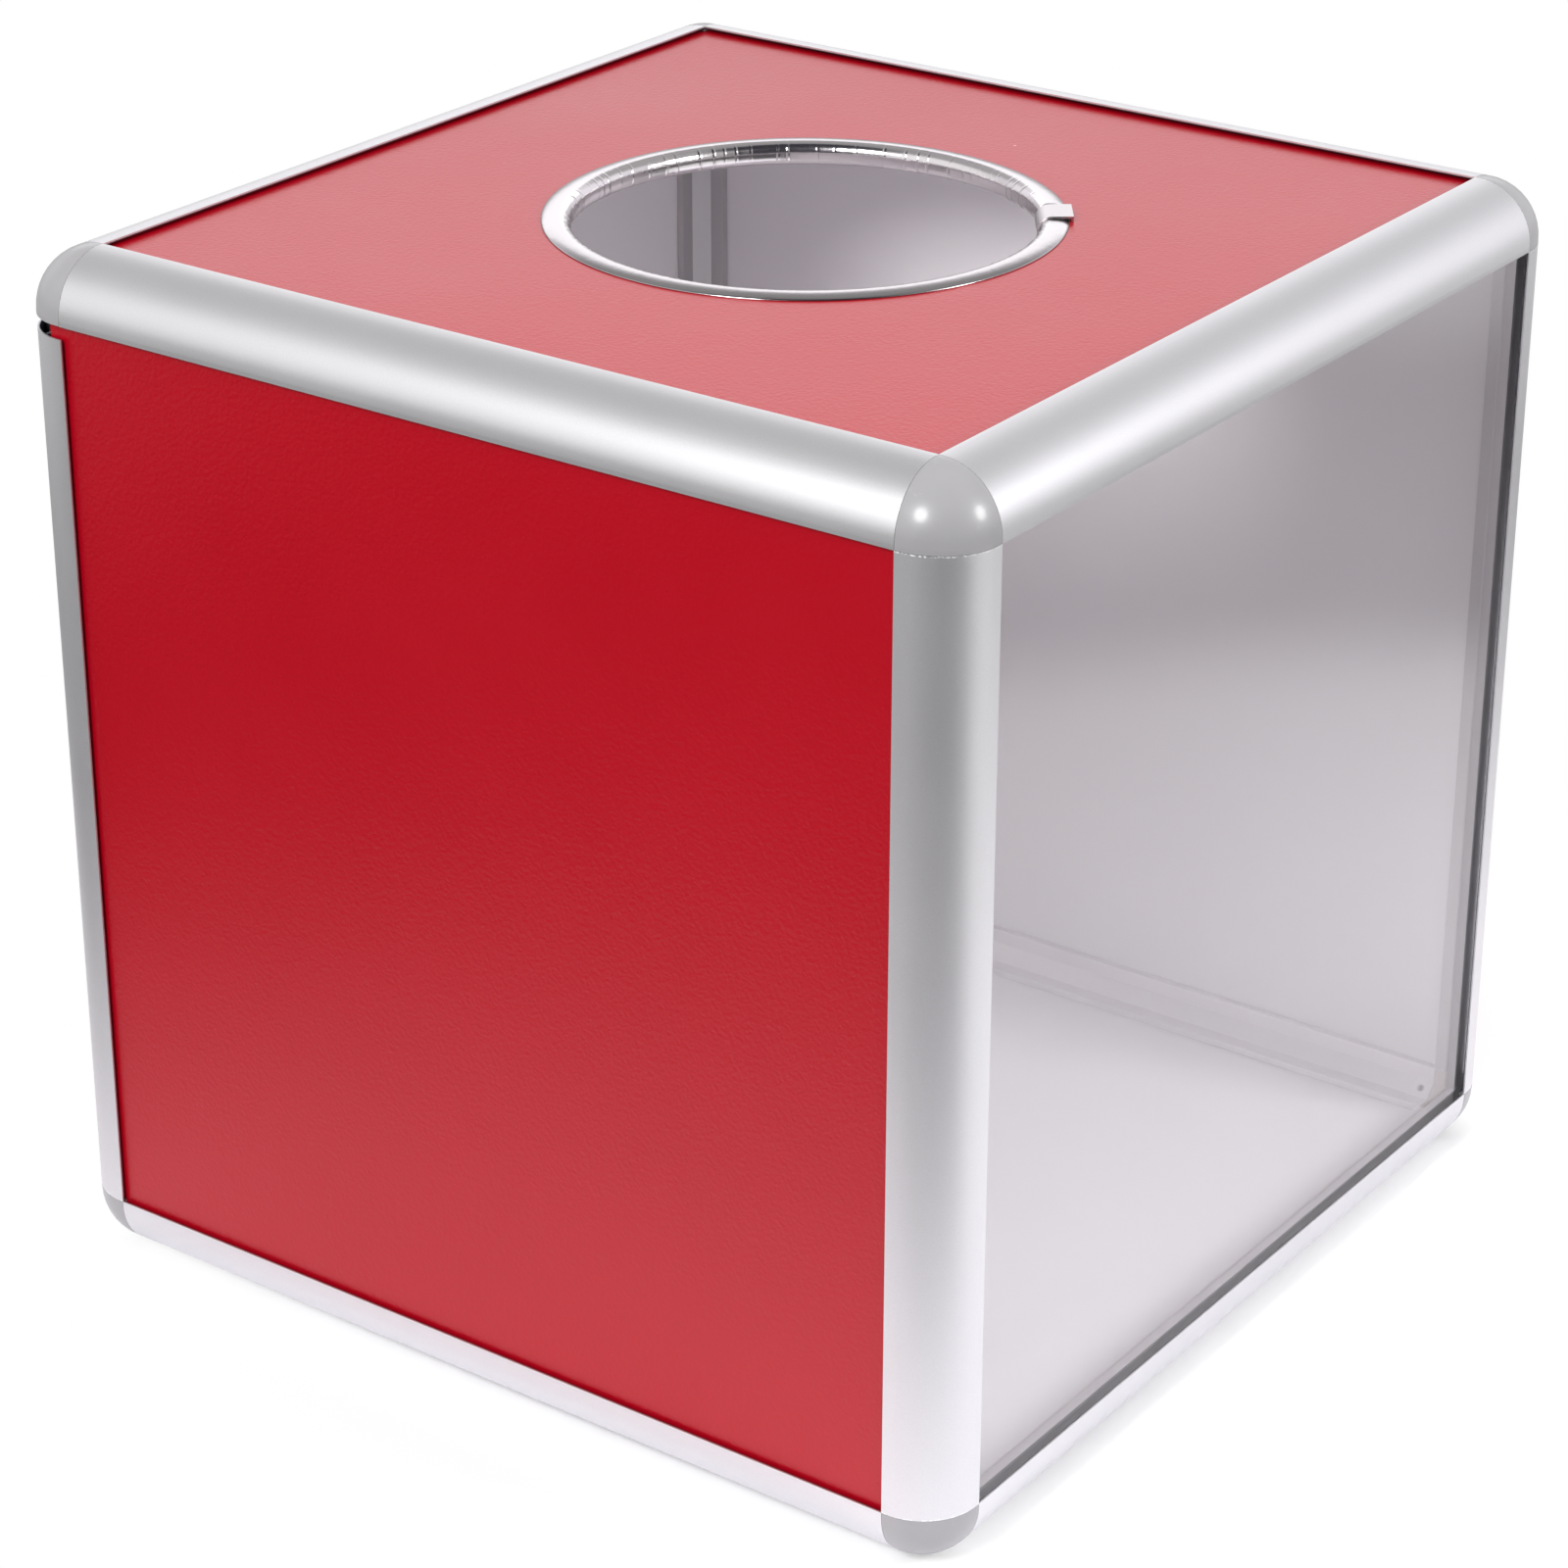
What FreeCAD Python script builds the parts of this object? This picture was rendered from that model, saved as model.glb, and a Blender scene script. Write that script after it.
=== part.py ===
import FreeCAD, Part
import math
import os

# Box with aluminium edge rails, plastic ball corners, slotted-in panels and a trimmed hand hole.
# Millimetres, +Z up, origin at the middle of the underside. Front is -Y, and the clear window is +X.

# Overall box, over the edge rails
box_width = 300.0
box_depth = 300.0
box_height = 300.0

# Edge rail: a quarter-round skin with a lip along each of its two faces
rail_leg = 18.0
lip_land = 1.2
skin_wall = 0.7
# Panel slot behind each lip
slot_depth = 6.0
flange_wall = 2.2
# Hollow core that takes the corner pegs
core_wall = 1.2
core_corner_cut = 0.9
web_wall = 1.2

# Panels
panel_thickness = 5.0
panel_play = 0.15
lip_gap = 0.6
panel_end_gap = 1.0
panel_corner_cut = 4.0

# Corner connectors
corner_seam = 0.1
peg_length = 30.0
peg_clearance = 0.1
peg_relief = 2.5
peg_lead_in = 1.2

# Punch marks that stake the top and bottom rails to the pegs
mark_diameter = 1.9
mark_depth = 0.6
mark_inset = 3.2

# The front left post stands this far below its top corner
front_left_post_gap = 3.7

# Hand hole and the U-section trim creased round its rim
hole_diameter = 133.0
trim_bends = 40
trim_wall = 0.6
trim_play = 0.1
trim_cover = 4.5
trim_split = 0.8

# Sleeve over the ends of the trim
clip_wall = 0.6
clip_play = 0.25
clip_length = 11.0
clip_angle = 36.0

# Distances from the outer faces, shared by the rails, corners and panels
rail_radius = rail_leg - lip_land
inner_radius = rail_radius - skin_wall
slot_floor = rail_leg - slot_depth
panel_edge = slot_floor + panel_end_gap
core_edge = slot_floor - core_wall


def skin_depth(distance):
    """Depth of the skin's inner surface at a distance from the rail's other outer face."""
    reach = max(rail_radius - distance, 0.0)
    return rail_radius - math.sqrt(inner_radius ** 2 - reach ** 2)


panel_recess = skin_depth(panel_edge) + lip_gap
flange_outer = panel_recess + panel_thickness + panel_play
flange_inner = flange_outer + flange_wall
web_sum = 2.0 * core_edge - core_corner_cut + web_wall * math.sqrt(2.0)
web_start = web_sum - flange_inner

X = FreeCAD.Vector(1, 0, 0)
Y = FreeCAD.Vector(0, 1, 0)
Z = FreeCAD.Vector(0, 0, 1)

# Names of the box's sides, with the sign of each side or the height and inward direction of each level
sides_x = (("left", -1), ("right", 1))
sides_y = (("front", -1), ("back", 1))
levels = (("bottom", 0.0, Z), ("top", box_height, -Z))


def point(u, v, w=0.0):
    return FreeCAD.Vector(u, v, w)


def line(start, end):
    return Part.LineSegment(start, end).toShape()


def arc(start, middle, end):
    return Part.Arc(start, middle, end).toShape()


def polygon_prism(corners, height):
    """A prism along +Z on a flat polygon."""
    face = Part.Face(Part.makePolygon(corners + corners[:1]))
    return face.extrude(FreeCAD.Vector(0, 0, height))


def placed(shape, origin, u_axis, v_axis, w_axis):
    """A copy of a shape whose local X, Y and Z are laid along three axes at an origin."""
    matrix = FreeCAD.Matrix(
        u_axis.x, v_axis.x, w_axis.x, origin.x,
        u_axis.y, v_axis.y, w_axis.y, origin.y,
        u_axis.z, v_axis.z, w_axis.z, origin.z,
        0, 0, 0, 1)
    copy = shape.copy()
    copy.transformShape(matrix)
    return copy


def placed_at_edge(shape, origin, u_axis, v_axis, w_axis):
    """As placed, for a shape that is the same when X and Y are swapped, so either hand will do."""
    if u_axis.cross(v_axis).dot(w_axis) < 0:
        u_axis, v_axis = v_axis, u_axis
    return placed(shape, origin, u_axis, v_axis, w_axis)


def arc_middle(radius):
    """Middle point of a quarter round of this radius about the rail's centre."""
    reach = rail_radius - radius * math.sqrt(0.5)
    return point(reach, reach)


def rail_outline():
    """Closed outline of the rail's section, with its outer corner at the origin."""
    slot_corner = skin_depth(slot_floor)
    between = 0.5 * (slot_floor + rail_radius)
    half = [
        (rail_radius, 0.0), (rail_leg, 0.0), (rail_leg, skin_wall), (rail_radius, skin_wall),
    ]
    after_slot = [
        (slot_floor, slot_corner), (slot_floor, flange_outer), (rail_leg, flange_outer),
        (rail_leg, flange_inner), (web_start, flange_inner),
    ]
    edges = [arc(point(0.0, rail_radius), arc_middle(rail_radius), point(rail_radius, 0.0))]
    edges += [line(point(*a), point(*b)) for a, b in zip(half, half[1:])]
    edges.append(arc(point(*half[-1]), point(between, skin_depth(between)), point(*after_slot[0])))
    edges += [line(point(*a), point(*b)) for a, b in zip(after_slot, after_slot[1:])]
    edges.append(line(point(web_start, flange_inner), point(flange_inner, web_start)))
    mirrored = [(v, u) for u, v in reversed(after_slot)]
    edges += [line(point(*a), point(*b)) for a, b in zip(mirrored, mirrored[1:])]
    mirrored_half = [(v, u) for u, v in reversed(half)]
    edges.append(arc(point(*mirrored[-1]), point(skin_depth(between), between), point(*mirrored_half[0])))
    edges += [line(point(*a), point(*b)) for a, b in zip(mirrored_half, mirrored_half[1:])]
    return Part.Wire(edges)


def core_outline():
    """Outline of the rail's hollow core."""
    cut_end = core_edge - core_corner_cut
    tip = skin_depth(core_edge)
    corners = [point(core_edge, tip), point(core_edge, cut_end), point(cut_end, core_edge), point(tip, core_edge)]
    sides = [line(a, b) for a, b in zip(corners, corners[1:])]
    return Part.Wire(sides + [arc(corners[-1], arc_middle(inner_radius), corners[0])])


def edge_rail(length):
    """One hollow rail along +Z from its lower end."""
    along = point(0, 0, length)
    return Part.Face(rail_outline()).extrude(along).cut(Part.Face(core_outline()).extrude(along))


def staked(rail, length):
    """A rail with a punch mark in its inner web near each end."""
    for distance in (mark_inset, length - mark_inset):
        web_middle = point(0.5 * web_sum, 0.5 * web_sum, distance)
        rail = rail.cut(Part.makeCone(0.5 * mark_diameter, 0.0, mark_depth, web_middle, point(-1, -1)))
    return rail


def peg():
    """One peg of a corner connector, along +Z: it fits the core's inner walls and stands clear of the skin."""
    edge = core_edge - peg_clearance
    cut_end = edge - core_corner_cut
    tip = 2.0 * arc_middle(inner_radius).x + math.sqrt(2.0) * peg_relief - edge
    shank = polygon_prism([
        point(edge, tip, rail_radius), point(edge, cut_end, rail_radius),
        point(cut_end, edge, rail_radius), point(tip, edge, rail_radius),
    ], rail_leg + peg_length - rail_radius)
    end = max(shank.Faces, key=lambda face: face.CenterOfMass.z)
    return shank.makeChamfer(peg_lead_in, end.Edges)


def turned(shape):
    """The shape and its two copies, turned about the corner's diagonal onto the other two edges."""
    origin = point(0, 0)
    return [shape, placed(shape, origin, Y, Z, X), placed(shape, origin, Z, X, Y)]


def corner_connector():
    """Ball corner with its outer corner at the origin, three pegs, and pockets for three panel corners."""
    size = rail_leg - corner_seam
    body = Part.makeBox(size, size, size)
    outer_edges = [edge for edge in body.Edges if min(end.Point.Length for end in edge.Vertexes) == 0.0]
    body = body.makeFillet(rail_radius, outer_edges)
    beyond = 2.0 * rail_leg
    hollow_side = polygon_prism([
        point(flange_inner, web_start), point(web_start, flange_inner), point(beyond, flange_inner),
        point(beyond, beyond), point(flange_inner, beyond),
    ], beyond)
    first, second, third = turned(hollow_side)
    body = body.cut(first.common(second).common(third))
    clipped = slot_floor + panel_corner_cut
    pocket = polygon_prism([
        point(slot_floor, clipped), point(clipped, slot_floor), point(beyond, slot_floor),
        point(beyond, beyond), point(slot_floor, beyond),
    ], panel_thickness + 2.0 * panel_play)
    pocket.translate(point(0, 0, panel_recess - panel_play))
    body = body.cut(turned(pocket))
    return body.fuse(turned(peg())).removeSplitter()


def panel_blank(across, along):
    """A flat panel with clipped corners, centred on the origin, from z = 0 up."""
    half_across = 0.5 * across - panel_edge
    half_along = 0.5 * along - panel_edge
    short_across = half_across - panel_corner_cut
    short_along = half_along - panel_corner_cut
    return polygon_prism([
        point(half_across, short_along), point(short_across, half_along),
        point(-short_across, half_along), point(-half_across, short_along),
        point(-half_across, -short_along), point(-short_across, -half_along),
        point(short_across, -half_along), point(half_across, -short_along),
    ], panel_thickness)


half_bend = math.radians(180.0 / trim_bends)
trim_rim = 0.5 * hole_diameter * math.cos(half_bend) - trim_play
trim_inside = panel_thickness + 2.0 * trim_play
trim_nose = trim_rim - 0.5 * trim_inside - trim_wall
trim_reach = 0.5 * hole_diameter + trim_cover
hole_middle = point(0, 0, box_height - panel_recess - 0.5 * panel_thickness)


def channel_section(rim, inside, wall, ends):
    """Closed outline, in the XZ plane, of a round-nosed U strip that opens towards +X.

    rim is the X where its nose begins, inside its clear height, and ends the outline of its
    upper end, from the outer side to the inner.
    """
    inner = 0.5 * inside
    outer = inner + wall
    upper = [(rim, outer)] + ends + [(rim, inner)]
    lower = [(x, -z) for x, z in reversed(upper)]

    def at(x, z):
        return FreeCAD.Vector(x, 0, z)

    edges = [line(at(*a), at(*b)) for a, b in zip(upper, upper[1:])]
    edges.append(arc(at(rim, inner), at(rim - inner, 0.0), at(rim, -inner)))
    edges += [line(at(*a), at(*b)) for a, b in zip(lower, lower[1:])]
    edges.append(arc(at(rim, -outer), at(rim - outer, 0.0), at(rim, outer)))
    return Part.Wire(edges)


def placed_at_clip(shape):
    """A shape drawn with the hole's middle at the origin and the clip on +X, put in its place."""
    turned_x = point(math.cos(math.radians(clip_angle)), math.sin(math.radians(clip_angle)))
    return placed(shape, hole_middle, turned_x, Z.cross(turned_x), Z)


def hole_trim():
    """U strip bent in short straight stretches round the hole, split in the middle of one stretch."""
    inner = 0.5 * trim_inside
    section = channel_section(trim_rim, trim_inside, trim_wall, [
        (trim_reach, inner + trim_wall), (trim_reach, inner),
    ])
    section.translate(Y * (0.5 * trim_split))
    corner_reach = trim_rim / math.cos(half_bend)
    bends = [(2 * count + 1) * half_bend for count in range(trim_bends)]
    corners = [point(corner_reach * math.cos(bend), corner_reach * math.sin(bend)) for bend in bends]
    ends = [point(trim_rim, 0.5 * trim_split), point(trim_rim, -0.5 * trim_split)]
    route = Part.makePolygon(ends[:1] + corners + ends[1:])
    mitred = 1
    return placed_at_clip(route.makePipeShell([section], True, False, mitred))


def trim_clip():
    """Straight sleeve round the trim's two ends, its own ends turned in to the panel."""
    past_bend = max(0.5 * clip_length - trim_nose * math.tan(half_bend), 0.0)
    rim = trim_rim - past_bend * math.tan(2.0 * half_bend)
    inside = trim_inside + 2.0 * (trim_wall + clip_play)
    inner = 0.5 * inside
    gap_edge = trim_reach + clip_play
    foot = 0.5 * trim_inside
    section = channel_section(rim, inside, clip_wall, [
        (gap_edge + clip_wall, inner + clip_wall), (gap_edge + clip_wall, foot),
        (gap_edge, foot), (gap_edge, inner),
    ])
    section.translate(Y * (-0.5 * clip_length))
    return placed_at_clip(Part.Face(section).extrude(Y * clip_length))


def build_level_rails(parts):
    """Rails round the top and the bottom."""
    half_x = 0.5 * box_width
    half_y = 0.5 * box_depth
    across = box_width - 2.0 * rail_leg
    along = box_depth - 2.0 * rail_leg
    rail_across = staked(edge_rail(across), across)
    rail_along = staked(edge_rail(along), along)
    for level, height, inward_z in levels:
        for side, sign in sides_y:
            start = point(rail_leg - half_x, sign * half_y, height)
            parts[f"{level}_rail_{side}"] = placed_at_edge(rail_across, start, Y * -sign, inward_z, X)
        for side, sign in sides_x:
            start = point(sign * half_x, rail_leg - half_y, height)
            parts[f"{level}_rail_{side}"] = placed_at_edge(rail_along, start, X * -sign, inward_z, Y)


def build_posts(parts):
    """Upright rails, held by their pegs alone."""
    for end, sign_y in sides_y:
        for side, sign_x in sides_x:
            gap = front_left_post_gap if (end, side) == ("front", "left") else 0.0
            post = edge_rail(box_height - 2.0 * rail_leg - gap)
            foot = point(0.5 * sign_x * box_width, 0.5 * sign_y * box_depth, rail_leg)
            parts[f"post_{end}_{side}"] = placed_at_edge(post, foot, X * -sign_x, Y * -sign_y, Z)


def build_corners(parts):
    """Corner connectors, four alike at each level."""
    connector = corner_connector()
    for level, height, inward_z in levels:
        corners = []
        for _, sign_y in sides_y:
            for _, sign_x in sides_x:
                corner = point(0.5 * sign_x * box_width, 0.5 * sign_y * box_depth, height)
                corners.append(placed_at_edge(connector, corner, X * -sign_x, Y * -sign_y, inward_z))
        parts[f"{level}_corners"] = Part.makeCompound(corners)


def build_panels(parts):
    """Six panels, each laid with its outer face behind the lips of the rails round it."""
    half_x = 0.5 * box_width - panel_recess
    half_y = 0.5 * box_depth - panel_recess
    middle_z = 0.5 * box_height
    top = box_height - panel_recess
    level = panel_blank(box_width, box_depth)
    hole = Part.makeCylinder(0.5 * hole_diameter, panel_thickness)
    parts["top_panel"] = placed(level.cut(hole), point(0, 0, top), X, -Y, -Z)
    parts["floor_panel"] = placed(level, point(0, 0, panel_recess), X, Y, Z)
    across = panel_blank(box_width, box_height)
    parts["front_panel"] = placed(across, point(0, -half_y, middle_z), -X, Z, Y)
    parts["back_panel"] = placed(across, point(0, half_y, middle_z), X, Z, -Y)
    along = panel_blank(box_depth, box_height)
    parts["left_panel"] = placed(along, point(-half_x, 0, middle_z), Y, Z, X)
    parts["window_panel"] = placed(along, point(half_x, 0, middle_z), -Y, Z, -X)


def build():
    parts = {}
    build_level_rails(parts)
    build_posts(parts)
    build_corners(parts)
    build_panels(parts)
    parts["hole_trim"] = hole_trim()
    parts["trim_clip"] = trim_clip()
    return parts


os.makedirs("parts", exist_ok=True)
for node, shape in build().items():
    shape.exportStep(f"parts/{node}.step")
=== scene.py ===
import math
import random
import bpy
from mathutils import Matrix, Vector


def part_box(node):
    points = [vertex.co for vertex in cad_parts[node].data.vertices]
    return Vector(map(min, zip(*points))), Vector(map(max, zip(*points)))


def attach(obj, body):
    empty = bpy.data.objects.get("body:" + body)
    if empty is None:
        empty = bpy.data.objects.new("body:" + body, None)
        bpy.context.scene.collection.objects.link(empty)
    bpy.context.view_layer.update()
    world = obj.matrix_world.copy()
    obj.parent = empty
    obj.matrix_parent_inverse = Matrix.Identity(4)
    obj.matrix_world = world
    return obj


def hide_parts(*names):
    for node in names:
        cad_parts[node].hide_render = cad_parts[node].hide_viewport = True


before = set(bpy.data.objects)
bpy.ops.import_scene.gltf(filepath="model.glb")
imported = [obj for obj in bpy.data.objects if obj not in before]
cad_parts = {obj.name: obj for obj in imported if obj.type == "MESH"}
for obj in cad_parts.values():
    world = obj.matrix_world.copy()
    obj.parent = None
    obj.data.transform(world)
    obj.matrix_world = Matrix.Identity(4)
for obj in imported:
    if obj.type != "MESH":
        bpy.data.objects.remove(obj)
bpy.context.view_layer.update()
rail_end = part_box("bottom_rail_back")[1].x

X = Vector((1.0, 0.0, 0.0))
Z = Vector((0.0, 0.0, 1.0))

# Camera, in metres and degrees
camera_place = Vector((0.6503, -0.9136, 0.6559))
camera_azimuth = 35.72
camera_elevation = 25.14
camera_roll = 0.09
camera_lens = 99.75
camera_sensor = 36.0

# Box, and the depth from its outer faces down to which its panels are red
box_middle = Vector((0.0, 0.0, 0.15))
box_half = 0.15
red_side_depth = 0.0040

# Rails: radius of the skin, and depths under it at which the panel slots start and end and the flanges end
rail_radius = 0.0168
slot_top = 0.00045
slot_bottom = 0.0020
flange_bottom = 0.0100
# Grey painted on the inner flanges: lighter than the skin on the rails along X and Y as painted light, darker
# on the posts as painted shade
painted_flange_levels = (0.88, 0.88, 0.60)
# Roughness, for the rails along X and Y and for the posts
rail_roughness = (0.36, 0.345, 0.40)
rail_metallic = 0.88
# Fineness of the drawn lines across a rail and along it
drawn_across = 2600.0
drawn_along = 9.0
# Punch marks, painted with shade: distance from the rail's end, depth of the inner web from the outer faces,
# and radius
mark_inset = 0.0032
web_depth = 0.0112
mark_radius = 0.0015
# Width of the saw-cut edge at a post's end, painted bright as a glint
cut_edge_width = 0.0004

# Corners: distances from the outer faces at which the ball gives way to the pegs and the inside begins
ball_reach = 0.0182
ball_inside = 0.0075

# Hole trim, about the middle of the hole
trim_rim = 0.0663
trim_nose_radius = 0.0032
nose_squareness = 0.86
nose_points = 19
trim_wall = 0.0006
inside_points = 7
trim_reach = 0.0710
trim_crown = 0.0011
crown_turns = (0.0, 6.0, 14.0, 24.0, 36.0, 50.0, 70.0)
pressed_crown = 0.0007
pressed_length = 0.0065
trim_split = 0.0008
clip_angle = 36.0
crease_seed = 7
crease_gap_least = 0.0025
crease_gap_most = 0.0085
crease_height_least = 0.00008
crease_height_most = 0.00030
crease_width = 0.00030
facet_flatness = 0.25
facet_wander = 0.00003

# Colours. Two shades are the ends of a cloudy or grained range
aluminium_shades = ((0.700, 0.692, 0.707, 1.0), (0.800, 0.792, 0.807, 1.0))
# Painted shade: the dark colour in the rails' slots stands in for the shade that falls there
slot_painted_shade = (0.12, 0.12, 0.15, 1.0)
plastic_shades = ((0.306, 0.299, 0.310, 1.0), (0.328, 0.321, 0.332, 1.0))
plastic_inside_colour = (0.64, 0.57, 0.57, 1.0)
# Painted shade: the pegs are near black, standing in for the shade in the hollows they fill
peg_painted_shade = (0.016, 0.016, 0.022, 1.0)
red_shades = ((0.372, 0.0006, 0.0080, 1.0), (0.405, 0.0010, 0.0100, 1.0))
red_dust_colour = (0.70, 0.30, 0.30, 1.0)
inner_face_shades = ((0.82, 0.785, 0.81, 1.0), (0.84, 0.805, 0.83, 1.0))
floor_board_shades = ((0.84, 0.81, 0.84, 1.0), (0.87, 0.84, 0.87, 1.0))
strip_tints = ((1.0, 0.95, 0.965, 1.0), (1.06, 1.0, 1.02, 1.0))
sheet_colour = (0.925, 0.915, 0.955, 1.0)
dark_room_colour = (0.025, 0.025, 0.035, 1.0)
backdrop_colour = (0.985, 0.975, 1.02, 1.0)

# Studio floor: its half width, the middle of the bright sheet, and distances from that middle over which
# the floor turns white to the camera, the sheet's painted pool of light fades, its lit side ends and the far
# floor begins
floor_half = 4.0
sheet_middle = Vector((0.03, 0.045, 0.0))
white_start = (0.16, 0.28)
sheet_fade = (0.20, 0.60)
lit_side_end = (0.46, 0.57)
far_floor_start = (0.80, 1.00)


class Nodes:
    """Adds joined nodes to a material's or a world's tree."""

    def __init__(self, owner):
        owner.use_nodes = True
        self.tree = owner.node_tree
        self.tree.nodes.clear()

    def feed(self, socket, value):
        if isinstance(value, bpy.types.NodeSocket):
            self.tree.links.new(value, socket)
        else:
            socket.default_value = value

    def add(self, kind, inputs, output=0, **settings):
        """One node with its settings and inputs. Gives back one of its outputs."""
        node = self.tree.nodes.new(kind)
        for name, value in settings.items():
            setattr(node, name, value)
        for key, value in inputs.items():
            self.feed(node.inputs[key], value)
        return node.outputs[output]

    def math(self, operation, *values):
        return self.add("ShaderNodeMath", dict(enumerate(values)), operation=operation)

    def vector(self, operation, *values):
        output = "Value" if operation in ("DOT_PRODUCT", "LENGTH") else "Vector"
        return self.add("ShaderNodeVectorMath", dict(enumerate(values)), output, operation=operation)

    def ramp(self, value, start, end, low=0.0, high=1.0):
        """Smooth step of a value from low, at start, to high, at end."""
        return self.add("ShaderNodeMapRange", {
            "Value": value, "From Min": start, "From Max": end, "To Min": low, "To Max": high,
        }, interpolation_type="SMOOTHSTEP")

    def mix(self, factor, first, second):
        """Colour mix."""
        return self.add("ShaderNodeMix", {0: factor, 6: first, 7: second}, 2, data_type="RGBA")

    def mix_shader(self, factor, first, second):
        return self.add("ShaderNodeMixShader", {0: factor, 1: first, 2: second})

    def place(self):
        """Place on the object, in metres."""
        return self.add("ShaderNodeTexCoord", {}, "Object")

    def noise(self, place, scale, detail=2.0, roughness=0.5):
        return self.add("ShaderNodeTexNoise", {
            "Vector": place, "Scale": scale, "Detail": detail, "Roughness": roughness,
        })

    def cells(self, place, scale, output="Distance", **settings):
        return self.add("ShaderNodeTexVoronoi", {"Vector": place, "Scale": scale}, output, **settings)

    def bump(self, height, strength, distance, normal=None):
        inputs = {"Height": height, "Strength": strength, "Distance": distance}
        if normal is not None:
            inputs["Normal"] = normal
        return self.add("ShaderNodeBump", inputs)

    def light_path(self):
        """Every output that tells what kind of ray is being followed."""
        return self.tree.nodes.new("ShaderNodeLightPath").outputs

    def surface(self, shader, output="ShaderNodeOutputMaterial"):
        node = self.tree.nodes.new(output)
        self.feed(node.inputs["Surface"], shader)


def grey(level):
    return (level, level, level, 1.0)


def from_middle(nodes, place):
    """How far a place is from the box's middle along each axis."""
    return nodes.vector("ABSOLUTE", nodes.vector("SUBTRACT", place, box_middle))


def from_faces(nodes, place, operation):
    """Depth from the box's outer faces: from the nearest (MAXIMUM of reaches) or the furthest (MINIMUM)."""
    parts = nodes.tree.nodes.new("ShaderNodeSeparateXYZ")
    nodes.feed(parts.inputs[0], from_middle(nodes, place))
    x, y, z = parts.outputs
    reach = nodes.math(operation, nodes.math(operation, x, y), z)
    return nodes.math("SUBTRACT", box_half, reach)


def under_skin(nodes, place, axis):
    """Depth under the round skin of a rail that runs along an axis."""
    bend = box_half - rail_radius
    across = [1.0, 1.0, 1.0]
    across[axis] = 0.0
    past_bend = nodes.vector("SUBTRACT", from_middle(nodes, place), (bend, bend, bend))
    past_bend = nodes.vector("MAXIMUM", past_bend, (0.0, 0.0, 0.0))
    reach = nodes.vector("LENGTH", nodes.vector("MULTIPLY", past_bend, across))
    return nodes.math("SUBTRACT", rail_radius, reach)


def punch_mark_shade(nodes, place, axis):
    """1 on the punch marks in the inner web of the rails along an axis, and 0 elsewhere. The dark painted on
    the marks is painted shade in their dents.
    """
    mark_place = [box_half - web_depth] * 3
    mark_place[axis] = rail_end - mark_inset
    distance = nodes.vector("LENGTH", nodes.vector("SUBTRACT", from_middle(nodes, place), mark_place))
    return nodes.ramp(distance, 0.3 * mark_radius, mark_radius, 1.0, 0.0)


def cut_edge_glint(nodes, place):
    """Above 0 on the ragged edge left by the saw at a post's ends, and 0 elsewhere. Its bright white is a
    painted glint on the cut metal.
    """
    reach = nodes.vector("DOT_PRODUCT", from_middle(nodes, place), Z)
    near_end = nodes.math("GREATER_THAN", reach, rail_end - cut_edge_width)
    ragged = nodes.ramp(nodes.noise(place, 1500.0), 0.48, 0.62, 0.0, 0.7)
    return nodes.math("MULTIPLY", near_end, ragged)


def aluminium(name, axis):
    """Satin anodised aluminium with faint drawn lines along the rail's axis; its slots, flanges, punch marks
    and cut edges carry painted light and shade.
    """
    material = bpy.data.materials.new(name)
    nodes = Nodes(material)
    place = nodes.place()
    depth = under_skin(nodes, place, axis)
    under_lip = nodes.math("GREATER_THAN", depth, slot_top)
    # The slot mask marks where painted shade goes
    slot = nodes.math("MULTIPLY", under_lip, nodes.math("LESS_THAN", depth, slot_bottom))
    painted_flange = nodes.math("MULTIPLY", under_lip, nodes.math("LESS_THAN", depth, flange_bottom))
    stretch = [drawn_across] * 3
    stretch[axis] = drawn_along
    drawn = nodes.noise(nodes.vector("MULTIPLY", place, stretch), 1.0, detail=3.0)
    etched = nodes.noise(place, 2200.0, detail=3.0, roughness=0.7)
    smudges = nodes.noise(place, 22.0, detail=4.0, roughness=0.6)
    roughness = nodes.math("MULTIPLY_ADD", smudges, 0.08, rail_roughness[axis])
    roughness = nodes.math("MULTIPLY_ADD", drawn, 0.05, roughness)
    colour = nodes.mix(etched, *aluminium_shades)
    # Painted light and shade: the inner flanges get a level of their own
    painted_flange_level = painted_flange_levels[axis]
    colour = nodes.mix(painted_flange, colour, (painted_flange_level, 0.97 * painted_flange_level, 0.99 * painted_flange_level, 1.0))
    # Painted shade: the slots are darkened where shade falls
    colour = nodes.mix(slot, colour, slot_painted_shade)
    metallic = rail_metallic
    if axis == 2:
        # The saw-cut edge is real; its bright white is a painted glint
        cut_glint = cut_edge_glint(nodes, place)
        colour = nodes.mix(cut_glint, colour, grey(0.95))
        metallic = nodes.math("MULTIPLY_ADD", cut_glint, -rail_metallic, rail_metallic)
    else:
        # Painted shade on the punch marks' dents
        colour = nodes.mix(punch_mark_shade(nodes, place, axis), colour, grey(0.30))
    normal = nodes.bump(drawn, 0.06, 0.00004)
    normal = nodes.bump(etched, 0.12, 0.00003, normal)
    nodes.surface(nodes.add("ShaderNodeBsdfPrincipled", {
        "Base Color": colour, "Metallic": metallic, "Roughness": roughness, "Normal": normal,
    }))
    return material


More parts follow.
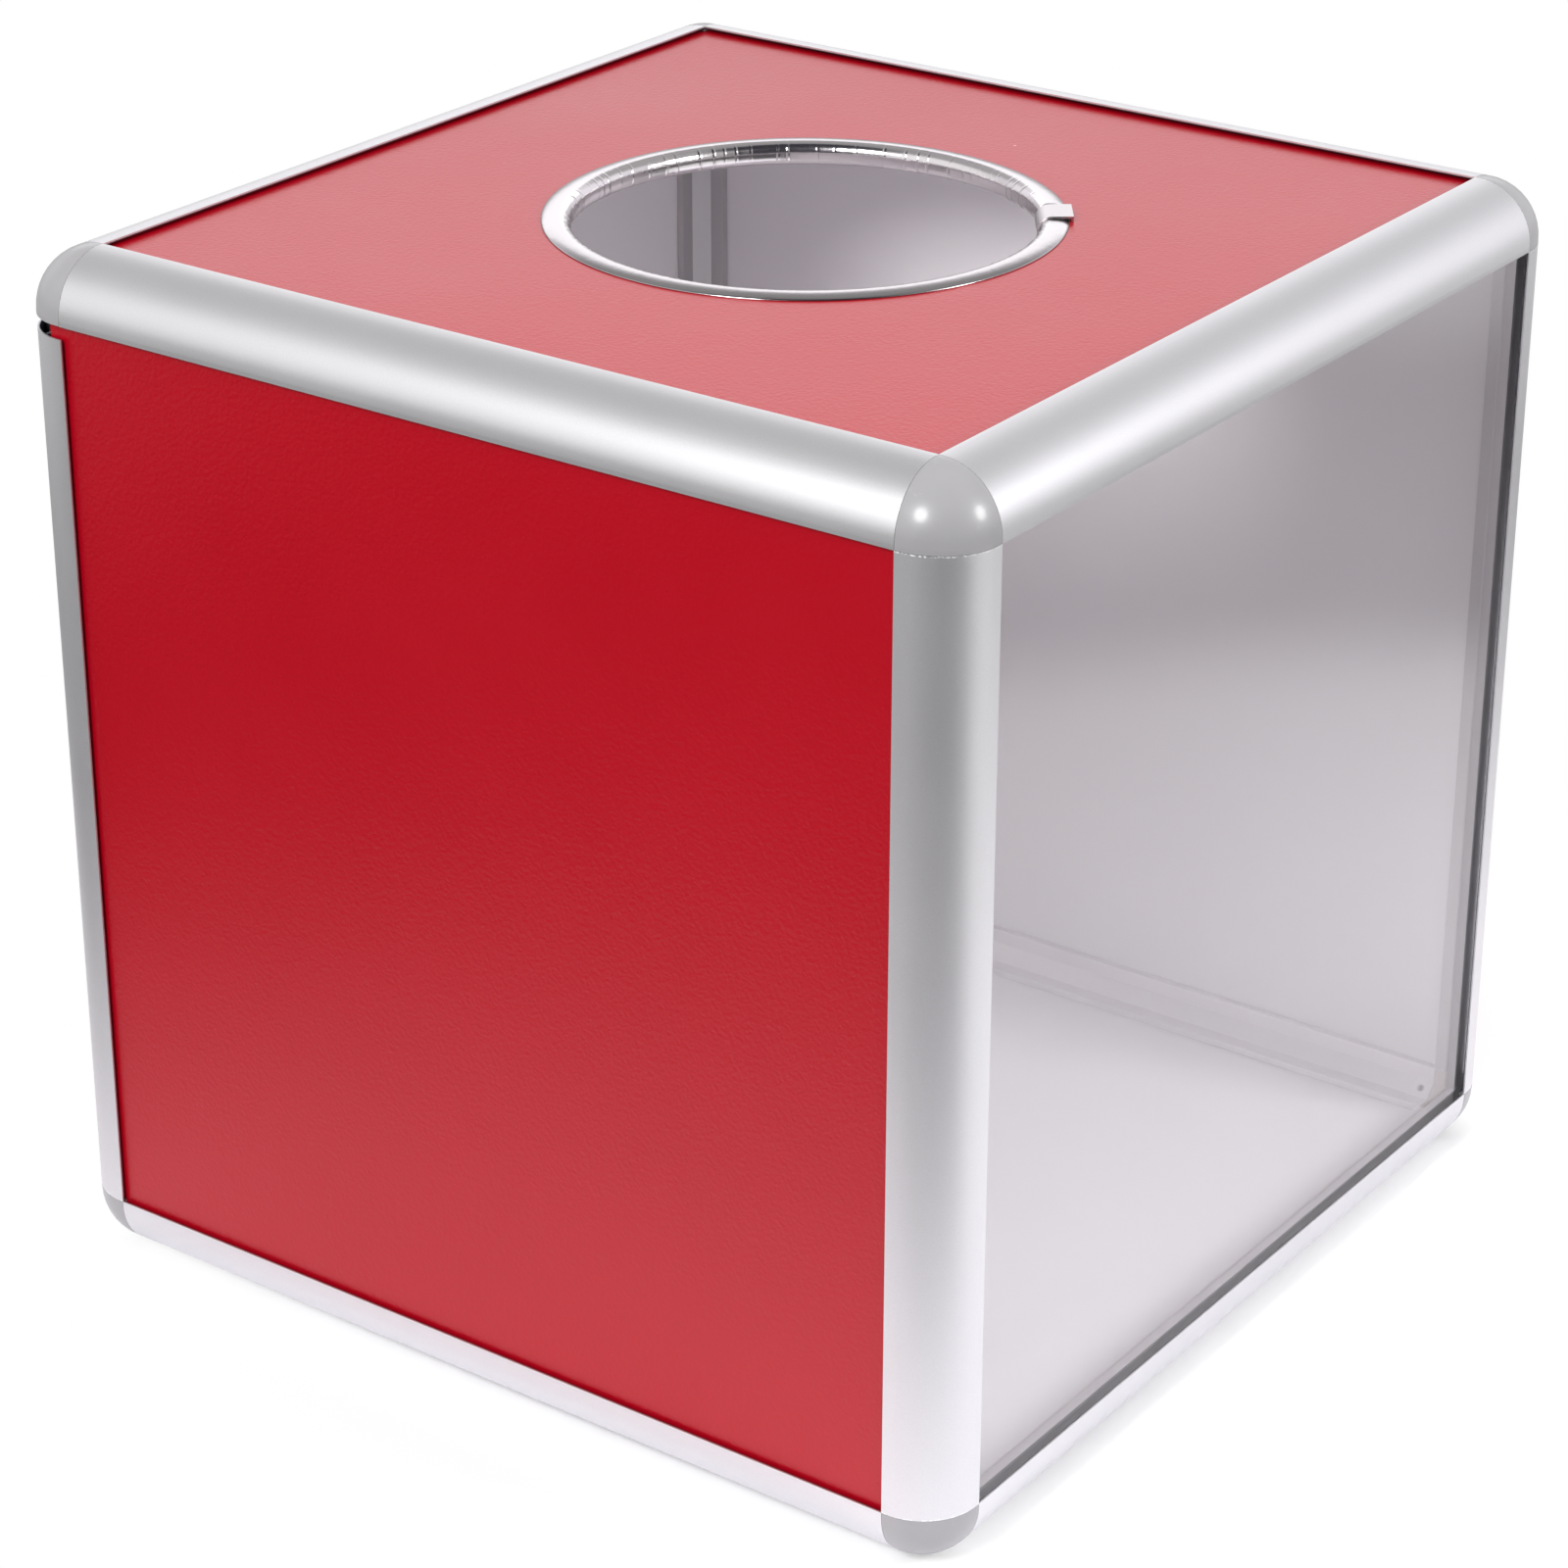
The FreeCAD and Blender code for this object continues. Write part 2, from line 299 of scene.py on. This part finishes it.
def moulded_plastic():
    """Grey moulded plastic, softly glossy. The pegs are painted near black as shade."""
    material = bpy.data.materials.new("moulded_plastic")
    nodes = Nodes(material)
    place = nodes.place()
    cloud = nodes.noise(place, 90.0, detail=3.0)
    peel = nodes.noise(place, 700.0)
    scuffs = nodes.ramp(nodes.noise(place, 260.0, detail=4.0, roughness=0.7), 0.62, 0.78)
    # Painted shade on the pegs
    peg_shade = nodes.math("GREATER_THAN", from_faces(nodes, place, "MINIMUM"), ball_reach)
    colour = nodes.mix(cloud, *plastic_shades)
    colour = nodes.mix(nodes.math("MULTIPLY", scuffs, 0.25), colour, grey(0.50))
    inside = nodes.math("GREATER_THAN", from_faces(nodes, place, "MAXIMUM"), ball_inside)
    colour = nodes.mix(inside, colour, plastic_inside_colour)
    colour = nodes.mix(peg_shade, colour, peg_painted_shade)
    roughness = nodes.math("MULTIPLY_ADD", scuffs, 0.12, 0.36)
    nodes.surface(nodes.add("ShaderNodeBsdfPrincipled", {
        "Base Color": colour, "Roughness": roughness, "IOR": 1.5,
        "Coat Weight": 0.36, "Coat Roughness": 0.17,
        "Normal": nodes.bump(peel, 0.10, 0.00006),
    }))
    return material


def dust(nodes, place, cell, share, size):
    """Small specks: a share of the cells of a grid hold one each."""
    scale = 1.0 / cell
    distance = nodes.cells(place, scale)
    lot = nodes.vector("DOT_PRODUCT", nodes.cells(place, scale, "Color"), X)
    chosen = nodes.math("LESS_THAN", lot, share)
    speck = nodes.ramp(distance, 0.5 * size / cell, size / cell, 1.0, 0.0)
    return nodes.math("MULTIPLY", speck, chosen)


def film_board():
    """Board with a red grained film on its outer face and a plain grey inner face."""
    material = bpy.data.materials.new("film_board")
    nodes = Nodes(material)
    place = nodes.place()
    outside = nodes.math("LESS_THAN", from_faces(nodes, place, "MAXIMUM"), red_side_depth)
    wander = nodes.add("ShaderNodeTexNoise", {"Vector": place, "Scale": 420.0, "Detail": 2.0}, "Color")
    warped = nodes.vector("MULTIPLY_ADD", wander, (0.0008, 0.0008, 0.0008), place)
    pebbles = nodes.cells(warped, 880.0, feature="SMOOTH_F1")
    fine = nodes.noise(place, 1500.0, detail=3.0, roughness=0.65)
    cloud = nodes.noise(place, 14.0, detail=4.0, roughness=0.6)
    red = nodes.mix(cloud, *red_shades)
    red = nodes.mix(dust(nodes, place, cell=0.040, share=0.30, size=0.0006), red, red_dust_colour)
    inner = nodes.mix(cloud, *inner_face_shades)
    grain = nodes.math("MULTIPLY_ADD", fine, 0.7, pebbles)
    normal = nodes.bump(grain, nodes.math("MULTIPLY", outside, 0.56), 0.00012)
    roughness = nodes.math("MULTIPLY_ADD", cloud, 0.06, 0.27)
    nodes.surface(nodes.add("ShaderNodeBsdfPrincipled", {
        "Base Color": nodes.mix(outside, inner, red), "Roughness": roughness, "IOR": 1.5, "Normal": normal,
    }))
    return material


def pale_board():
    """Pale floor board."""
    material = bpy.data.materials.new("pale_board")
    nodes = Nodes(material)
    place = nodes.place()
    cloud = nodes.noise(place, 18.0, detail=4.0, roughness=0.6)
    fine = nodes.noise(place, 1300.0)
    colour = nodes.mix(cloud, *floor_board_shades)
    colour = nodes.mix(dust(nodes, place, cell=0.05, share=0.2, size=0.0005), colour, grey(0.45))
    nodes.surface(nodes.add("ShaderNodeBsdfPrincipled", {
        "Base Color": colour, "Roughness": nodes.math("MULTIPLY_ADD", cloud, 0.1, 0.42),
        "Normal": nodes.bump(fine, 0.06, 0.00008),
    }))
    return material


def clear_acrylic():
    """Clear sheet that lets lamps through, with a little dust."""
    material = bpy.data.materials.new("clear_acrylic")
    nodes = Nodes(material)
    place = nodes.place()
    sheet = nodes.add("ShaderNodeBsdfPrincipled", {
        "Base Color": grey(0.985), "Roughness": 0.015, "IOR": 1.49, "Transmission Weight": 1.0,
    })
    path = nodes.light_path()
    through = nodes.math("MAXIMUM", path["Is Shadow Ray"], path["Is Diffuse Ray"])
    clear = nodes.add("ShaderNodeBsdfTransparent", {"Color": grey(0.97)})
    dusty = nodes.add("ShaderNodeBsdfDiffuse", {"Color": grey(0.75)})
    specks = nodes.math("MULTIPLY", dust(nodes, place, cell=0.03, share=0.2, size=0.0006), 0.45)
    shown = nodes.mix_shader(specks, sheet, dusty)
    nodes.surface(nodes.mix_shader(through, shown, clear))
    return material


def bright_strip(name, level, painted_flange_level, roughness_low, crumple):
    """Bright thin metal strip round the hole, a little crumpled, with a level of its own on its flanges,
    painted shade where it is darker than the rest.
    """
    material = bpy.data.materials.new(name)
    nodes = Nodes(material)
    place = nodes.place()
    waves = nodes.noise(place, 340.0, detail=3.0, roughness=0.55)
    scratches = nodes.noise(place, 1500.0, detail=3.0, roughness=0.6)
    roughness = nodes.math("MULTIPLY_ADD", scratches, 0.12, roughness_low)
    from_axis = nodes.vector("LENGTH", nodes.vector("MULTIPLY", place, (1.0, 1.0, 0.0)))
    painted_flange = nodes.ramp(from_axis, trim_rim - 0.5 * trim_nose_radius, trim_rim)
    tint = nodes.mix(scratches, *strip_tints)
    colour = nodes.vector("MULTIPLY", tint, nodes.mix(painted_flange, grey(level), grey(painted_flange_level)))
    nodes.surface(nodes.add("ShaderNodeBsdfPrincipled", {
        "Base Color": colour, "Metallic": 1.0, "Roughness": roughness,
        "Normal": nodes.bump(waves, crumple, 0.0002),
    }))
    return material


def paint(node, material):
    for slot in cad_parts[node].material_slots:
        slot.material = material


def dress_cad_nodes():
    """A material for each node that stays in view."""
    rails = [aluminium(f"aluminium_{name}", axis) for axis, name in enumerate("xyz")]
    plastic = moulded_plastic()
    board = film_board()
    for level in ("top", "bottom"):
        for side in ("front", "back"):
            paint(f"{level}_rail_{side}", rails[0])
        for side in ("left", "right"):
            paint(f"{level}_rail_{side}", rails[1])
        paint(f"{level}_corners", plastic)
    for end in ("front", "back"):
        for side in ("left", "right"):
            paint(f"post_{end}_{side}", rails[2])
    for panel in ("top_panel", "front_panel", "back_panel", "left_panel"):
        paint(panel, board)
    paint("floor_panel", pale_board())
    paint("window_panel", clear_acrylic())
    clip_metal = bright_strip("clip_metal", level=0.66, painted_flange_level=0.66, roughness_low=0.28, crumple=0.10)
    paint("trim_clip", clip_metal)


def squared(part, squareness):
    """A sine or cosine, moved outwards where squareness is below 1."""
    return math.copysign(abs(part) ** squareness, part)


def half_round(middle, radius, start, end, count, squareness=1.0):
    """Points on an arc, as (out, up) pairs. Angles are in degrees, and squareness below 1 makes it fuller."""
    angles = [math.radians(start + (end - start) * step / (count - 1)) for step in range(count)]
    return [(
        middle[0] + radius * squared(math.cos(angle), squareness),
        middle[1] + radius * squared(math.sin(angle), squareness),
    ) for angle in angles]


def trim_section(crown_height):
    """Closed loop of the strip's section: out from the hole's middle, up from the panel's middle, and give.

    Give is how far a crease moves the point: 1 round the nose and 0 at the flanges' outer edges.
    """
    nose = half_round((trim_rim, 0.0), trim_nose_radius, 90.0, 270.0, nose_points, nose_squareness)
    inside = half_round((trim_rim, 0.0), trim_nose_radius - trim_wall, 270.0, 90.0, inside_points)
    span = trim_reach - trim_rim
    foot = trim_nose_radius - trim_wall
    sweep = [math.radians(turn) for turn in crown_turns]
    crown = [(trim_rim + span * math.cos(turn), foot + crown_height * math.sin(turn)) for turn in sweep]
    stretch = (foot + crown_height) / trim_nose_radius
    nose = [(out, up * stretch if up > 0.0 else up) for out, up in nose]
    lower_edge = [(trim_reach, -trim_nose_radius), (trim_reach, -foot)]
    loop = crown + nose + lower_edge + inside
    return [(out, up, min(max((trim_reach - out) / span, 0.0), 1.0) ** 2) for out, up in loop]


def trim_columns():
    """Angles round the hole, each with how far its nose stands in from a true circle."""
    chance = random.Random(crease_seed)
    around = trim_rim - trim_nose_radius
    first = 0.5 * trim_split / around
    last = 2.0 * math.pi - first
    creases = [first]
    while creases[-1] < last - 1.5 * crease_gap_most / around:
        creases.append(creases[-1] + chance.uniform(crease_gap_least, crease_gap_most) / around)
    creases.append(last)
    foot = crease_width / around
    columns = [(creases[0], 0.0)]
    for start, end in zip(creases, creases[1:]):
        middle = 0.5 * (start + end)
        flat = facet_flatness * around * (1.0 - math.cos(0.5 * (end - start)))
        columns.append((start + foot, 0.0))
        columns.append((start + 2.0 * foot, chance.uniform(0.0, facet_wander)))
        columns.append((middle, flat))
        columns.append((end - 2.0 * foot, chance.uniform(0.0, facet_wander)))
        columns.append((end - foot, 0.0))
        ridge = chance.uniform(crease_height_least, crease_height_most)
        columns.append((end, ridge if end < last else 0.0))
    return columns


def add_hole_trim():
    """The bright strip creased round the rim of the hole."""
    low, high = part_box("hole_trim")
    middle = 0.5 * (low + high)
    middle.x = 0.0
    middle.y = 0.0
    columns = trim_columns()
    turn = math.radians(clip_angle)
    points = []
    for angle, stand in columns:
        direction = Vector((math.cos(turn + angle), math.sin(turn + angle), 0.0))
        from_clip = trim_rim * min(angle, 2.0 * math.pi - angle)
        section = trim_section(pressed_crown if from_clip < pressed_length else trim_crown)
        for out, up, give in section:
            points.append(middle + direction * (out - stand * give) + Z * up)
    size = len(section)
    faces = []
    for column in range(len(columns) - 1):
        near = column * size
        far = near + size
        for step in range(size):
            after = (step + 1) % size
            faces.append((near + step, near + after, far + after, far + step))
    faces.append(tuple(reversed(range(size))))
    faces.append(tuple(range(len(points) - size, len(points))))
    mesh = bpy.data.meshes.new("creased_trim")
    mesh.from_pydata(points, [], faces)
    mesh.shade_smooth()
    # Painted shade: the trim's flanges are darker than its nose
    trim_metal = bright_strip("trim_metal", level=0.78, painted_flange_level=0.48, roughness_low=0.12, crumple=0.16)
    mesh.materials.append(trim_metal)
    trim = bpy.data.objects.new("creased_trim", mesh)
    bpy.context.scene.collection.objects.link(trim)
    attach(trim, "root")
    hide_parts("hole_trim")


def direction_from(azimuth, elevation):
    """Unit vector at an azimuth from +Y towards +X and an elevation, in degrees."""
    azimuth = math.radians(azimuth)
    elevation = math.radians(elevation)
    level = math.cos(elevation)
    return Vector((math.sin(azimuth) * level, math.cos(azimuth) * level, math.sin(elevation)))


def add_camera():
    forward = direction_from(-camera_azimuth, -camera_elevation)
    azimuth = math.radians(camera_azimuth)
    roll = math.radians(camera_roll)
    level = Vector((math.cos(azimuth), math.sin(azimuth), 0.0))
    above = level.cross(forward)
    right = level * math.cos(roll) + above * math.sin(roll)
    up = above * math.cos(roll) - level * math.sin(roll)
    turn = Matrix((right, up, -forward)).transposed().to_4x4()
    data = bpy.data.cameras.new("camera")
    data.lens = camera_lens
    data.sensor_width = camera_sensor
    camera = bpy.data.objects.new("camera", data)
    camera.matrix_world = Matrix.Translation(camera_place) @ turn
    bpy.context.scene.collection.objects.link(camera)
    bpy.context.scene.camera = camera


def add_softbox(name, azimuth, elevation, distance, size, power):
    """Round or oval soft lamp aimed at the box's middle. Its size is its width and height."""
    data = bpy.data.lights.new(name, "AREA")
    data.shape = "ELLIPSE"
    data.size, data.size_y = size
    data.energy = power
    lamp = bpy.data.objects.new(name, data)
    towards = direction_from(azimuth, elevation)
    lamp.location = box_middle + towards * distance
    lamp.rotation_euler = towards.to_track_quat("Z", "Y").to_euler()
    lamp.visible_camera = False
    bpy.context.scene.collection.objects.link(lamp)


def facing(nodes, direction, azimuth, elevation):
    """1 where a direction points at this azimuth and elevation, down to -1 where it points away."""
    return nodes.vector("DOT_PRODUCT", direction, direction_from(azimuth, elevation))


def clear_view(nodes, path):
    """1 for what is seen straight or through the clear window, and 0 in reflections and bounced light."""
    straight = nodes.math("LESS_THAN", path["Glossy Depth"], 0.5)
    through = nodes.math("MULTIPLY", path["Is Transmission Ray"], straight)
    return nodes.math("MAXIMUM", path["Is Camera Ray"], through)


def floor_sheet():
    """A bright sheet round the box, white to the camera; in reflections a painted pool of light that falls
    off further out.
    """
    material = bpy.data.materials.new("floor_sheet")
    nodes = Nodes(material)
    distance = nodes.vector("LENGTH", nodes.vector("SUBTRACT", nodes.place(), sheet_middle))
    bearing = nodes.vector("NORMALIZE", nodes.place())
    dark_side = facing(nodes, bearing, 165.0, 0.0)
    # Painted light: the sheet's colour falls off with distance and changes with bearing, standing in for the
    # studio's light
    lit_side = nodes.mix(nodes.ramp(distance, *lit_side_end), grey(0.50), grey(0.08))
    outer = nodes.mix(nodes.ramp(dark_side, -0.3, 0.4), lit_side, grey(0.02))
    right_side = facing(nodes, bearing, 86.0, 0.0)
    outer = nodes.mix(nodes.ramp(right_side, 0.90, 0.97), outer, grey(0.54))
    sheet = nodes.mix(nodes.ramp(distance, *sheet_fade), sheet_colour, outer)
    in_front = facing(nodes, bearing, 140.0, 0.0)
    far_floor = nodes.mix(nodes.ramp(in_front, -0.2, 0.3), grey(0.55), grey(0.04))
    sheet = nodes.mix(nodes.ramp(distance, *far_floor_start), sheet, far_floor)
    near = nodes.add("ShaderNodeBsdfDiffuse", {"Color": grey(0.97)})
    white = nodes.add("ShaderNodeEmission", {"Color": grey(1.0), "Strength": 1.0})
    seen = nodes.mix_shader(nodes.ramp(distance, *white_start), near, white)
    lit = nodes.add("ShaderNodeBsdfDiffuse", {"Color": sheet})
    nodes.surface(nodes.mix_shader(clear_view(nodes, nodes.light_path()), lit, seen))
    return material


def add_floor():
    """Pale floor under the box."""
    low = -floor_half
    high = floor_half
    mesh = bpy.data.meshes.new("floor")
    mesh.from_pydata([(low, low, 0), (high, low, 0), (high, high, 0), (low, high, 0)], [], [(0, 1, 2, 3)])
    mesh.materials.append(floor_sheet())
    floor = bpy.data.objects.new("floor", mesh)
    bpy.context.scene.collection.objects.link(floor)


def add_world():
    """White to the camera. Reflections show a white backdrop behind, a grey room and a dark one in front."""
    world = bpy.data.worlds.new("studio")
    bpy.context.scene.world = world
    nodes = Nodes(world)
    towards = nodes.add("ShaderNodeTexCoord", {}, "Generated")
    height = nodes.vector("DOT_PRODUCT", towards, Z)
    behind = facing(nodes, towards, -24.0, 0.0)
    backdrop = nodes.math("MULTIPLY", nodes.ramp(behind, -0.1, 0.5), nodes.ramp(height, 0.62, 0.36))
    low_back = facing(nodes, towards, -40.0, 0.0)
    near_horizon = nodes.ramp(height, 0.33, 0.05, 0.0, 0.7)
    dimmed = nodes.math("MULTIPLY", nodes.ramp(low_back, 0.70, 0.92), near_horizon)
    backdrop = nodes.math("MULTIPLY", backdrop, nodes.math("SUBTRACT", 1.0, dimmed))
    in_front = facing(nodes, towards, 144.0, 10.0)
    over_camera = facing(nodes, towards, 144.0, 58.0)
    dark = nodes.math("MAXIMUM", nodes.ramp(in_front, 0.74, 0.90), nodes.ramp(over_camera, 0.76, 0.90))
    dark = nodes.math("MAXIMUM", dark, nodes.ramp(height, 0.80, 0.94, 0.0, 0.25))
    left_front = facing(nodes, towards, -142.0, 10.0)
    room = nodes.mix(nodes.ramp(left_front, 0.73, 0.94), grey(0.42), grey(0.95))
    room = nodes.mix(dark, room, dark_room_colour)
    room = nodes.mix(backdrop, room, backdrop_colour)
    camera_side = facing(nodes, towards, 130.0, 5.0)
    fill = nodes.mix(nodes.ramp(camera_side, 0.15, 0.85), grey(1.04), grey(0.64))
    path = nodes.light_path()
    reflected = nodes.math("MAXIMUM", path["Is Glossy Ray"], path["Is Transmission Ray"])
    plain = nodes.add("ShaderNodeBackground", {"Color": fill, "Strength": 1.0})
    mirrored = nodes.add("ShaderNodeBackground", {"Color": room, "Strength": 1.0})
    white = nodes.add("ShaderNodeBackground", {"Color": grey(1.0), "Strength": 1.0})
    shown = nodes.mix_shader(reflected, plain, mirrored)
    nodes.surface(nodes.mix_shader(clear_view(nodes, path), shown, white), "ShaderNodeOutputWorld")


dress_cad_nodes()
add_hole_trim()
add_camera()
add_floor()
add_world()
add_softbox("front_softbox", azimuth=175.0, elevation=34.5, distance=1.35, size=(0.44, 0.44), power=10.8)
add_softbox("right_softbox", azimuth=76.0, elevation=26.0, distance=1.35, size=(0.41, 0.41), power=7.6)
add_softbox("back_softbox", azimuth=-36.0, elevation=23.5, distance=1.7, size=(1.9, 0.44), power=1.9)
bpy.context.scene.view_settings.view_transform = "Standard"
